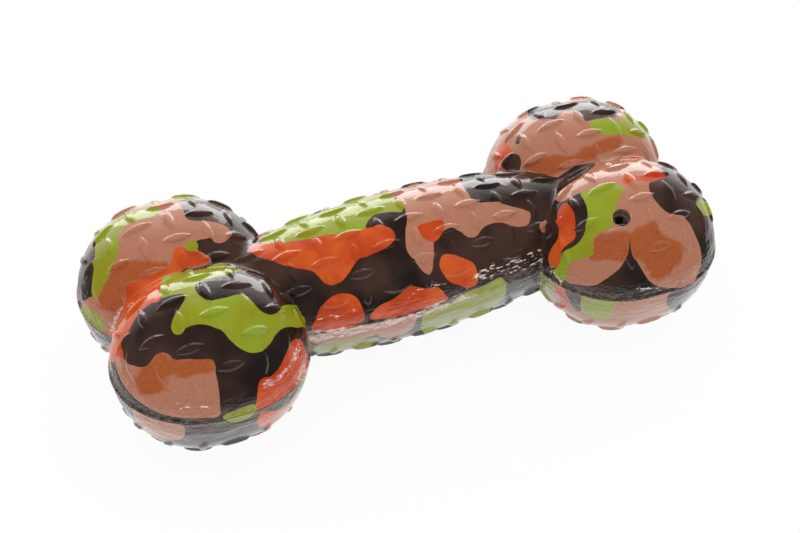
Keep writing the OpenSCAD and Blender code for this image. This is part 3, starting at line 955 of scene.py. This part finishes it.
def raw_rubber():
    """The unprinted rubber inside the shells, lightened as painted light against the shade in the air hole.
    """
    n = Nodes(bpy.data.materials.new("raw_rubber"))
    colour = n.tinted(n.noise(300, 4, 0.6), "raw_rubber")
    normal = n.bump(n.noise(1800, 3, 0.6), RAW_DEPTH, 0.6)
    return n.finish(colour, n.between(n.noise(600), 0.3, 0.7, 0.55, 0.75), normal)


def moulded_plastic(name, roughness):
    """Moulded plastic with faint flow marks and a fine skin."""
    n = Nodes(bpy.data.materials.new(name))
    flow = n.noise(260, 3, 0.55, n.scaled((1, 1, 0.3)))
    normal = n.bump(n.noise(3000, 2, 0.5), PLASTIC_DEPTH, 0.5)
    return n.finish(n.tinted(flow, name), n.between(flow, 0.3, 0.7, roughness, roughness + 0.12), normal)


def reed_film():
    """Thin translucent film with fine drawn lines."""
    n = Nodes(bpy.data.materials.new("reed_film"))
    lines = n.noise(900, 2, 0.5, n.scaled((6, 6, 0.4)))
    roughness = n.between(lines, 0.3, 0.7, 0.18, 0.3)
    normal = n.bump(lines, FILM_DEPTH, 0.5)
    return n.finish(n.tinted(lines, "reed_film"), roughness, normal, Alpha=0.75)


def ground():
    """White ground. The camera and reflections see it near white, with a little of its shadow. Towards the
    edge the shadow fades into plain white."""
    n = Nodes(bpy.data.materials.new("ground"))
    n.finish((0.86, 0.86, 0.86, 1), 0.8, n.bump(n.noise(40), GROUND_DEPTH), Specular_IOR_Level=0.1)
    glow = n.node("ShaderNodeEmission", {"Color": (1, 1, 1, 1)}).outputs[0]
    camera, gloss = n.seen_directly()
    inner = n.scaled((1 / FLOOR_HALF_X, 1 / FLOOR_HALF_Y, 0))
    distance = n.node("ShaderNodeVectorMath", {0: inner}, operation="LENGTH").outputs["Value"]
    white = n.between(distance, FADE_START, FADE_END, FLOOR_WHITE, 1)
    share = n.maths("MULTIPLY", n.maths("MAXIMUM", camera, gloss), white)
    mixed = n.node("ShaderNodeMixShader", {0: share, 1: n.surface.outputs[0], 2: glow}).outputs[0]
    n.put(n.tree.nodes["Material Output"].inputs["Surface"], mixed)
    return n.owner


# Shells


def mouth_ring(bm, radius, depth):
    """A ring of vertices round the air hole's axis, this deep below the bare rubber's top point."""
    side = unit(np.cross(MOUTH_AXIS, [0, 0, 1.0]))
    other = np.cross(MOUTH_AXIS, side)
    ring = []
    for k in range(MOUTH_SIDES):
        angle = 2 * math.pi * k / MOUTH_SIDES
        p = MOUTH_POINT + radius * (math.cos(angle) * side + math.sin(angle) * other) - depth * MOUTH_AXIS
        ring.append(bm.verts.new(p))
    return ring


def cut_mouth(bm, points):
    """Opens the air hole in the skin, with a rounded lip and a wall down to the squeaker."""
    outer = MOUTH_RADIUS + MOUTH_LIP
    bm.verts.ensure_lookup_table()
    close = np.linalg.norm(points - MOUTH_POINT, axis=1) < outer + GRID_STEP / 2
    gone = {face for index in np.flatnonzero(close) for face in bm.verts[index].link_faces}
    rim = {edge for face in gone for edge in face.edges}
    bmesh.ops.delete(bm, geom=list(gone), context="FACES")
    edge_of_hole = [edge for edge in rim if edge.is_valid and edge.is_boundary]
    rings = []
    for k in range(MOUTH_LIP_RINGS + 1):
        angle = math.pi / 2 * k / MOUTH_LIP_RINGS
        radius = outer - MOUTH_LIP * math.sin(angle)
        sag = LOBE_RADIUS - math.sqrt(LOBE_RADIUS**2 - radius**2)
        rings.append(mouth_ring(bm, radius, sag + MOUTH_LIP * (1 - math.cos(angle))))
    rings.append(mouth_ring(bm, MOUTH_RADIUS, MOUTH_DEPTH))
    printed_rings = 2
    for number, (upper, lower) in enumerate(zip(rings, rings[1:])):
        for k in range(MOUTH_SIDES):
            following = (k + 1) % MOUTH_SIDES
            face = bm.faces.new((upper[k], upper[following], lower[following], lower[k]))
            face.material_index = 0 if number < printed_rings else 1
    lip = [bm.edges.get((rings[0][k], rings[0][(k + 1) % MOUTH_SIDES])) for k in range(MOUTH_SIDES)]
    bmesh.ops.bridge_loops(bm, edges=edge_of_hole + lip)


def inner_faces(node):
    """The frame's own faces inside the rubber: the cavity, the socket and the joint between the halves."""
    source = frame["nodes"][node].data
    points = vertices_of(source) / MM
    source.calc_loop_triangles()
    faces = np.empty(len(source.loop_triangles) * 3, int)
    source.loop_triangles.foreach_get("vertices", faces)
    faces = faces.reshape(-1, 3)
    flatness, slack = 0.01, 0.05
    deep = (bare_gap(points) < -BEAD_PROUD)[faces].all(1)
    joint = (np.abs(points[:, 2]) < flatness)[faces].all(1)
    away = points[faces].mean(1) - MOUTH_POINT
    in_bore = np.linalg.norm(np.cross(away, MOUTH_AXIS), axis=1) < MOUTH_RADIUS + slack
    in_bore &= -away @ MOUTH_AXIS < MOUTH_DEPTH + slack
    return points, faces[(deep | joint) & ~in_bore].tolist()


def shell(name, base, treads, upper, skins):
    """One half shell: the printed skin outside and the raw rubber inside."""
    bare = vertices_of(base)
    finished = bare + rise(bare, treads)[:, None] * outward(bare)
    turned = np.array([1, 1, 1]) if upper else np.array([1, -1, -1])
    fields = print_fields(bare * turned, upper)
    mesh = base.copy()
    mesh.name = name
    set_vertices(mesh, finished * turned)
    for key, values in fields.items():
        layer = mesh.attributes.new("print_" + key, "FLOAT", "POINT")
        layer.data.foreach_set("value", values.astype(np.float32))
    bm = bmesh.new()
    bm.from_mesh(mesh)
    if upper:
        cut_mouth(bm, finished)
    inner_points, faces = inner_faces(name)
    used = sorted({index for face in faces for index in face})
    made = {index: bm.verts.new(inner_points[index]) for index in used}
    for face in faces:
        bm.faces.new([made[index] for index in face]).material_index = 1
    bmesh.ops.scale(bm, vec=(MM, MM, MM), verts=bm.verts)
    bm.normal_update()
    bm.to_mesh(mesh)
    bm.free()
    for skin in skins:
        mesh.materials.append(skin)
    mesh.shade_smooth()
    mesh.set_sharp_from_angle(angle=math.radians(SHARP_ANGLE))
    piece = bpy.data.objects.new(name + "_skin", mesh)
    bpy.context.scene.collection.objects.link(piece)
    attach(piece, "toy")
    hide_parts(name)


def dress(node, material):
    """Gives a CAD node its material."""
    mesh = frame["nodes"][node].data
    mesh.materials.clear()
    mesh.materials.append(material)


treads = shaft_treads()
for sx in (-1, 1):
    for sy in (-1, 1):
        treads += lobe_treads(sx, sy)
treads.append(HOLE_TREAD)
base = half_mesh(treads)
inside = raw_rubber()
upper_print = printed_rubber("printed_rubber_upper", coat_index=1.5, dust=0.0)
shell("upper_shell", base, treads, True, (upper_print, inside))
lower_print = printed_rubber("printed_rubber_lower", coat_index=1.8, dust=0.6)
shell("lower_shell", base, treads, False, (lower_print, inside))
bpy.data.meshes.remove(base)

# Squeaker
# The case plastic is lightened as painted light against the shade in the air hole
case_plastic = moulded_plastic("squeaker_plastic", roughness=0.3)
block_plastic = moulded_plastic("block_plastic", roughness=0.45)
for node in ("squeaker_case", "squeaker_cap"):
    dress(node, case_plastic)
for node in ("reed_block", "reed_wedge"):
    dress(node, block_plastic)
dress("reed", reed_film())

# Ground
floor_height = cad_bounds[0][2]
floor_points = []
for k in range(FLOOR_SIDES):
    angle = 2 * math.pi * k / FLOOR_SIDES
    floor_points.append((FLOOR_HALF_X * math.cos(angle), FLOOR_HALF_Y * math.sin(angle), floor_height))
floor_mesh = bpy.data.meshes.new("ground")
floor_mesh.from_pydata(floor_points, [], [range(FLOOR_SIDES)])
floor = bpy.data.objects.new("ground", floor_mesh)
bpy.context.scene.collection.objects.link(floor)
floor_mesh.materials.append(ground())

# Camera, at the photograph's viewing angle. Angles are in degrees and lengths in metres
CAMERA_AZIMUTH = -113.3
CAMERA_ELEVATION = 41.0
CAMERA_DISTANCE = 0.430
CAMERA_ROLL = 0.7
CAMERA_TARGET = Vector((-0.0008, -0.001, 0))
CAMERA_CLIP = 0.01
SENSOR_WIDTH = 36
FOCAL_PIXELS = 1802
IMAGE_WIDTH = 800


def place_camera():
    back = Vector(towards(CAMERA_AZIMUTH, CAMERA_ELEVATION))
    right = Vector(towards(CAMERA_AZIMUTH + 90, 0))
    up = back.cross(right)
    roll = math.radians(CAMERA_ROLL)
    right, up = right * math.cos(roll) + up * math.sin(roll), up * math.cos(roll) - right * math.sin(roll)
    data = bpy.data.cameras.new("camera")
    data.sensor_width = SENSOR_WIDTH
    data.lens = FOCAL_PIXELS * SENSOR_WIDTH / IMAGE_WIDTH
    data.clip_start = CAMERA_CLIP
    camera = bpy.data.objects.new("camera", data)
    bpy.context.scene.collection.objects.link(camera)
    turn = Matrix((right, up, back)).transposed()
    camera.matrix_world = Matrix.Translation(CAMERA_TARGET + CAMERA_DISTANCE * back) @ turn.to_4x4()
    bpy.context.scene.camera = camera


place_camera()

# Light: the direction that counts as behind the toy, and the strengths of the surroundings, in reflections
# before and behind the toy, and as light from below and above
BEHIND = (0.3, 0.95, 0)
MIRRORED_FRONT = 0.16
MIRRORED_BACK = 1.6
SOFT_BELOW = 0.7
SOFT_ABOVE = 1.25


def lamp(name, azimuth, elevation, distance, width, height, power):
    """A soft lamp that faces the toy. Angles are in degrees, lengths in metres and the power in watts."""
    way = Vector(towards(azimuth, elevation))
    data = bpy.data.lights.new(name, "AREA")
    data.shape = "RECTANGLE"
    data.size, data.size_y = width, height
    data.energy = power
    thing = bpy.data.objects.new(name, data)
    bpy.context.scene.collection.objects.link(thing)
    thing.location = way * distance
    thing.rotation_euler = way.to_track_quat("Z", "Y").to_euler()


def white_world():
    """White surroundings. As light they are soft and strongest from above. In reflections they are bright
    behind the toy and dim in front of it, like a studio with a white sweep."""
    n = Nodes(bpy.data.worlds.new("surroundings"))
    bpy.context.scene.world = n.owner
    way = n.node("ShaderNodeTexCoord").outputs["Generated"]
    behind = n.node("ShaderNodeVectorMath", {0: way, 1: BEHIND}, operation="DOT_PRODUCT")
    mirrored = n.between(behind.outputs["Value"], 0.35, 0.92, MIRRORED_FRONT, MIRRORED_BACK)
    soft = n.between(n.split(way)[2], -0.2, 1, SOFT_BELOW, SOFT_ABOVE)
    camera, gloss = n.seen_directly()
    strength = n.maths("MULTIPLY_ADD", gloss, n.maths("SUBTRACT", mirrored, soft), soft)
    strength = n.maths("MAXIMUM", strength, camera)
    n.surface.inputs["Color"].default_value = (1, 1, 1, 1)
    n.put(n.surface.inputs["Strength"], strength)


lamp("sweep_lamp", azimuth=72, elevation=13, distance=1.2, width=1.5, height=0.5, power=7)
white_world()
bpy.context.scene.view_settings.view_transform = "Standard"
